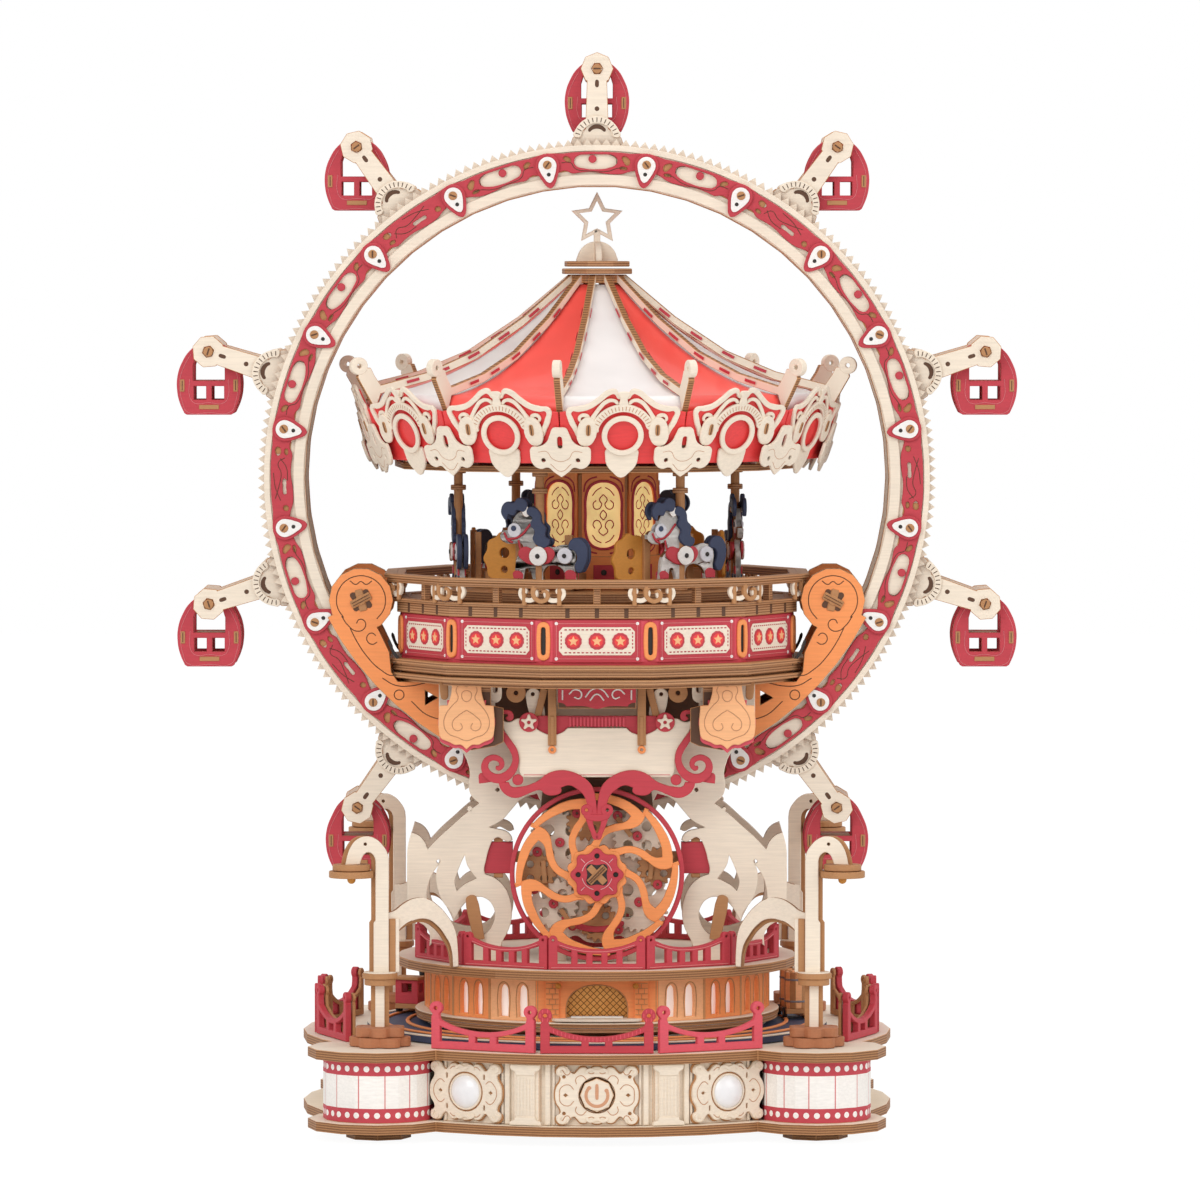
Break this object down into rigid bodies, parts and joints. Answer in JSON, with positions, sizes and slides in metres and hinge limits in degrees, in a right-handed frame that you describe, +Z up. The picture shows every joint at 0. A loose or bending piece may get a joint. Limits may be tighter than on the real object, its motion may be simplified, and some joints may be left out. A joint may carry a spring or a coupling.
{
  "type": "wooden puzzle music box",
  "caption": "Laser-cut wooden puzzle music box: a toothed ring wheel with hanging gondolas turns round a carousel with horses above a tiered base with a toy train.",
  "frame": {"origin": "on the ground under the middle of the base, at the bottom centre of the bounding box", "axes": "+Z up, along the longest extent; -Y towards the front with the sign and the button; +X to the right as seen from the front"},
  "size_m": [0.2618, 0.168, 0.3331],
  "materials": {
    "cream_plywood": "matt bare birch plywood with brown laser-cut edges",
    "crimson_plywood": "matt printed plywood with brown laser-cut edges",
    "pink_plywood": "matt printed plywood",
    "laser_browned_plywood": "matt laser-browned plywood",
    "orange_plywood": "matt printed plywood",
    "white_printed_plywood": "matt printed plywood",
    "slate_plywood": "matt printed plywood",
    "canopy_sheet": "satin coral and white panels",
    "dark_plastic": "matt"
  },
  "bodies": {
    "base": {"base_plate": "cream_plywood", "base_wall": "cream_plywood", "film_drum_left": "white_printed_plywood", "film_drum_right": "white_printed_plywood", "deck_plate": "cream_plywood", "facade_front": "cream_plywood", "music_box": "dark_plastic", "arcade_base": "laser_browned_plywood", "arcade_wall": "orange_plywood", "gallery_plate": "cream_plywood", "gallery_fence": "crimson_plywood", "deck_fence_front": "pink_plywood", "deck_fence_rear": "pink_plywood", "deck_fence_left": "crimson_plywood", "deck_fence_right": "crimson_plywood", "lamp_post_front_left": "cream_plywood", "lamp_post_front_right": "cream_plywood", "lamp_post_rear_left": "cream_plywood", "lamp_post_rear_right": "cream_plywood", "front_frame": "cream_plywood", "rear_frame": "cream_plywood", "cradle_front": "orange_plywood", "cradle_rear": "orange_plywood", "sign_plaque": "crimson_plywood", "stage_base": "laser_browned_plywood", "stage_drum": "crimson_plywood", "stage_top": "laser_browned_plywood"},
    "button": {"power_button": "cream_plywood"},
    "ring_wheel": {"ring_front": "crimson_plywood", "ring_gear": "cream_plywood", "arm_ring_front": "cream_plywood", "arm_ring_rear": "cream_plywood", "ring_hoop": "cream_plywood"},
    "hanging_gondola_1": {"gondola_1": "crimson_plywood"},
    "hanging_gondola_2": {"gondola_2": "crimson_plywood"},
    "hanging_gondola_3": {"gondola_3": "crimson_plywood"},
    "hanging_gondola_4": {"gondola_4": "crimson_plywood"},
    "hanging_gondola_5": {"gondola_5": "crimson_plywood"},
    "hanging_gondola_6": {"gondola_6": "crimson_plywood"},
    "hanging_gondola_7": {"gondola_7": "crimson_plywood"},
    "hanging_gondola_8": {"gondola_8": "crimson_plywood"},
    "hanging_gondola_9": {"gondola_9": "crimson_plywood"},
    "hanging_gondola_10": {"gondola_10": "crimson_plywood"},
    "drive": {"drive_gear": "cream_plywood", "spiral_wheel": "orange_plywood"},
    "roller_left": {"guide_roller_left": "laser_browned_plywood"},
    "roller_right": {"guide_roller_right": "laser_browned_plywood"},
    "carousel": {"turntable": "laser_browned_plywood", "center_column": "orange_plywood", "horse_1": "white_printed_plywood", "horse_2": "white_printed_plywood", "horse_3": "white_printed_plywood", "horse_4": "white_printed_plywood", "horse_5": "white_printed_plywood", "horse_6": "white_printed_plywood", "canopy_frame": "cream_plywood", "canopy_cover": "canopy_sheet", "canopy_valance": "cream_plywood", "star_finial": "laser_browned_plywood"},
    "train": {"track_ring": "slate_plywood"}
  },
  "joints": [
    {"name": "ring_spin", "type": "hinge", "parent": "base", "child": "ring_wheel", "pos_m": [0, 0, 0.201], "axis": [0, 1, 0], "continuous": true},
    {"name": "drive_spin", "type": "hinge", "parent": "base", "child": "drive", "pos_m": [0, 0, 0.07892], "axis": [0, 1, 0], "continuous": true},
    {"name": "roller_left_spin", "type": "hinge", "parent": "base", "child": "roller_left", "pos_m": [-0.07319, 0, 0.16331], "axis": [0, 1, 0], "continuous": true},
    {"name": "roller_right_spin", "type": "hinge", "parent": "base", "child": "roller_right", "pos_m": [0.07319, 0, 0.16331], "axis": [0, 1, 0], "continuous": true},
    {"name": "carousel_spin", "type": "hinge", "parent": "base", "child": "carousel", "pos_m": [0, 0, 0.1638], "axis": [0, 0, 1], "continuous": true},
    {"name": "train_spin", "type": "hinge", "parent": "base", "child": "train", "pos_m": [0, 0, 0.0283], "axis": [0, 0, 1], "continuous": true},
    {"name": "power_button_press", "type": "slide", "parent": "base", "child": "button", "axis": [0, 1, 0], "range_m": [0, 0.001], "stiffness_N_per_m": 150},
    {"name": "gondola_1_swing", "type": "hinge", "parent": "ring_wheel", "child": "hanging_gondola_1", "pos_m": [0, 0, 0.328], "axis": [0, 1, 0], "continuous": true},
    {"name": "gondola_2_swing", "type": "hinge", "parent": "ring_wheel", "child": "hanging_gondola_2", "pos_m": [-0.07465, 0, 0.30375], "axis": [0, 1, 0], "continuous": true},
    {"name": "gondola_3_swing", "type": "hinge", "parent": "ring_wheel", "child": "hanging_gondola_3", "pos_m": [-0.12078, 0, 0.24025], "axis": [0, 1, 0], "continuous": true},
    {"name": "gondola_4_swing", "type": "hinge", "parent": "ring_wheel", "child": "hanging_gondola_4", "pos_m": [-0.12078, 0, 0.16175], "axis": [0, 1, 0], "continuous": true},
    {"name": "gondola_5_swing", "type": "hinge", "parent": "ring_wheel", "child": "hanging_gondola_5", "pos_m": [-0.07465, 0, 0.09825], "axis": [0, 1, 0], "continuous": true},
    {"name": "gondola_6_swing", "type": "hinge", "parent": "ring_wheel", "child": "hanging_gondola_6", "pos_m": [0, 0, 0.074], "axis": [0, 1, 0], "continuous": true},
    {"name": "gondola_7_swing", "type": "hinge", "parent": "ring_wheel", "child": "hanging_gondola_7", "pos_m": [0.07465, 0, 0.09825], "axis": [0, 1, 0], "continuous": true},
    {"name": "gondola_8_swing", "type": "hinge", "parent": "ring_wheel", "child": "hanging_gondola_8", "pos_m": [0.12078, 0, 0.16175], "axis": [0, 1, 0], "continuous": true},
    {"name": "gondola_9_swing", "type": "hinge", "parent": "ring_wheel", "child": "hanging_gondola_9", "pos_m": [0.12078, 0, 0.24025], "axis": [0, 1, 0], "continuous": true},
    {"name": "gondola_10_swing", "type": "hinge", "parent": "ring_wheel", "child": "hanging_gondola_10", "pos_m": [0.07465, 0, 0.30375], "axis": [0, 1, 0], "continuous": true}
  ],
  "couplings": [
    {"joint": "drive_spin", "follows": "ring_spin", "ratio": -5.9459},
    {"joint": "roller_left_spin", "follows": "ring_spin", "ratio": 11.615},
    {"joint": "roller_right_spin", "follows": "ring_spin", "ratio": 11.615},
    {"joint": "carousel_spin", "follows": "ring_spin", "ratio": -2},
    {"joint": "train_spin", "follows": "ring_spin", "ratio": 2},
    {"joint": "gondola_1_swing", "follows": "ring_spin", "ratio": -1},
    {"joint": "gondola_2_swing", "follows": "ring_spin", "ratio": -1},
    {"joint": "gondola_3_swing", "follows": "ring_spin", "ratio": -1},
    {"joint": "gondola_4_swing", "follows": "ring_spin", "ratio": -1},
    {"joint": "gondola_5_swing", "follows": "ring_spin", "ratio": -1},
    {"joint": "gondola_6_swing", "follows": "ring_spin", "ratio": -1},
    {"joint": "gondola_7_swing", "follows": "ring_spin", "ratio": -1},
    {"joint": "gondola_8_swing", "follows": "ring_spin", "ratio": -1},
    {"joint": "gondola_9_swing", "follows": "ring_spin", "ratio": -1},
    {"joint": "gondola_10_swing", "follows": "ring_spin", "ratio": -1}
  ]
}
